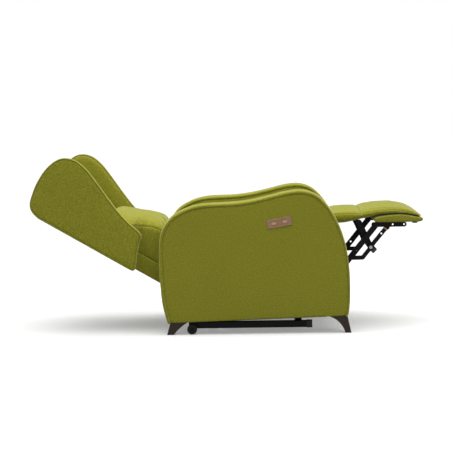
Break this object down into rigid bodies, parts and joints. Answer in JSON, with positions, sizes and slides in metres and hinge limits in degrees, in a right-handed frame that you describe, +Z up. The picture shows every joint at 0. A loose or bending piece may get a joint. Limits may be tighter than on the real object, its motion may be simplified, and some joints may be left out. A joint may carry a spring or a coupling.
{
  "type": "wingback recliner",
  "caption": "Upholstered power recliner with side wings, curved arms, a folding steel footrest linkage, dark feet and rear transport wheels, stored reclined.",
  "frame": {"origin": "centre of the bounding box, on the floor", "axes": "-Y is the front of the chair, +X the sitter's left, +Z up"},
  "size_m": [0.7617, 1.7585, 0.7935],
  "materials": {
    "olive_fabric": "woven upholstery fabric",
    "plywood": "sawn plywood",
    "softwood": "planed softwood",
    "dark_wood": "stained wood, satin lacquer",
    "black_steel": "black powder coat",
    "zinc_steel": "zinc plated",
    "copper_plate": "brushed, copper tinted anodised",
    "black_plastic": "moulded",
    "steel_button": "brushed",
    "wheel_plastic": "moulded",
    "webbing": "elastic webbing"
  },
  "bodies": {
    "base": {"arm_frame_right": "plywood", "arm_outer_pad_right": "olive_fabric", "arm_inner_pad_right": "olive_fabric", "arm_band_right": "olive_fabric", "arm_frame_left": "plywood", "arm_outer_pad_left": "olive_fabric", "arm_inner_pad_left": "olive_fabric", "arm_band_left": "olive_fabric", "button_plate": "copper_plate", "switch_box": "black_plastic", "rear_feet": "dark_wood", "front_feet": "dark_wood", "foot_bolts": "zinc_steel", "base_rails": "black_steel", "cross_tubes": "black_steel", "rail_caps": "black_plastic", "wheel_brackets": "black_steel", "mechanism_plates": "black_steel", "arm_bolts": "zinc_steel", "seat_end_boards": "softwood", "seat_side_boards": "softwood", "seat_webbing": "webbing", "seat_cushion": "olive_fabric", "drive_sleeve": "black_plastic", "drive_motor": "black_plastic", "motor_post": "black_steel", "power_inlet": "black_plastic"},
    "crank": {"crank_links": "black_steel", "crank_tube": "black_steel"},
    "long_link": {"long_links": "black_steel"},
    "dogleg": {"dogleg_links": "black_steel", "dogleg_rivets": "zinc_steel"},
    "upper_link": {"upper_links": "black_steel"},
    "cross_lever": {"cross_levers": "black_steel", "cross_tube": "black_steel"},
    "footrest": {"footrest_brackets": "black_steel", "footrest_board": "plywood", "board_cover": "olive_fabric", "footrest_glides": "black_plastic", "foot_pad": "olive_fabric", "calf_pad": "olive_fabric"},
    "back": {"back_stiles": "softwood", "back_rails": "softwood", "back_panel": "olive_fabric", "back_apron": "olive_fabric", "lumbar_cushion": "olive_fabric", "head_cushion": "olive_fabric", "back_brackets": "black_steel", "back_drive_tube": "black_steel", "wing_inner_pad_right": "olive_fabric", "wing_frame_right": "plywood", "wing_outer_pad_right": "olive_fabric", "wing_inner_pad_left": "olive_fabric", "wing_frame_left": "plywood", "wing_outer_pad_left": "olive_fabric"},
    "drive_rod": {"drive_rod": "zinc_steel"},
    "button_recline": {"button_recline": "steel_button"},
    "button_raise": {"button_raise": "steel_button"},
    "wheel_right": {"wheel_right": "wheel_plastic"},
    "wheel_left": {"wheel_left": "wheel_plastic"}
  },
  "joints": [
    {"name": "footrest_fold", "type": "hinge", "parent": "base", "child": "crank", "pos_m": [0, -0.4007, 0.2486], "axis": [1, 0, 0], "range_deg": [0, 131.17]},
    {"name": "long_link_turn", "type": "hinge", "parent": "crank", "child": "long_link", "pos_m": [0, -0.5268, 0.2943], "axis": [1, 0, 0], "range_deg": [-138.37, 0]},
    {"name": "footrest_turn", "type": "hinge", "parent": "long_link", "child": "footrest", "pos_m": [0, -0.6632, 0.464], "axis": [1, 0, 0], "range_deg": [0, 97.2]},
    {"name": "dogleg_turn", "type": "hinge", "parent": "base", "child": "dogleg", "pos_m": [0, -0.4679, 0.3208], "axis": [1, 0, 0], "range_deg": [0, 123.57]},
    {"name": "upper_link_turn", "type": "hinge", "parent": "dogleg", "child": "upper_link", "pos_m": [0, -0.6416, 0.3681], "axis": [1, 0, 0], "range_deg": [-138.52, 0]},
    {"name": "lever_turn", "type": "hinge", "parent": "dogleg", "child": "cross_lever", "pos_m": [0, -0.6416, 0.3681], "axis": [1, 0, 0], "range_deg": [-88.01, 0]},
    {"name": "back_recline", "type": "hinge", "parent": "base", "child": "back", "pos_m": [0, 0.1298, 0.285], "axis": [1, 0, 0], "range_deg": [0, 48]},
    {"name": "drive_rod_slide", "type": "slide", "parent": "base", "child": "drive_rod", "axis": [0, 1, 0], "range_m": [0, 0.0896]},
    {"name": "button_recline_press", "type": "slide", "parent": "base", "child": "button_recline", "axis": [1, 0, 0], "range_m": [0, 0.003], "stiffness_N_per_m": 600, "springref_m": -0.001},
    {"name": "button_raise_press", "type": "slide", "parent": "base", "child": "button_raise", "axis": [1, 0, 0], "range_m": [0, 0.003], "stiffness_N_per_m": 600, "springref_m": -0.001},
    {"name": "wheel_right_roll", "type": "hinge", "parent": "base", "child": "wheel_right", "pos_m": [0, 0.1648, 0.0235], "axis": [1, 0, 0], "continuous": true},
    {"name": "wheel_left_roll", "type": "hinge", "parent": "base", "child": "wheel_left", "pos_m": [0, 0.1648, 0.0235], "axis": [1, 0, 0], "continuous": true}
  ],
  "couplings": [
    {"joint": "long_link_turn", "follows": "footrest_fold", "ratio": -1.0547},
    {"joint": "footrest_turn", "follows": "footrest_fold", "ratio": 0.74087},
    {"joint": "dogleg_turn", "follows": "footrest_fold", "ratio": 0.94191},
    {"joint": "upper_link_turn", "follows": "footrest_fold", "ratio": -1.0559},
    {"joint": "lever_turn", "follows": "footrest_fold", "ratio": -0.67081},
    {"joint": "drive_rod_slide", "follows": "back_recline", "m_per_rad": 0.10683}
  ]
}
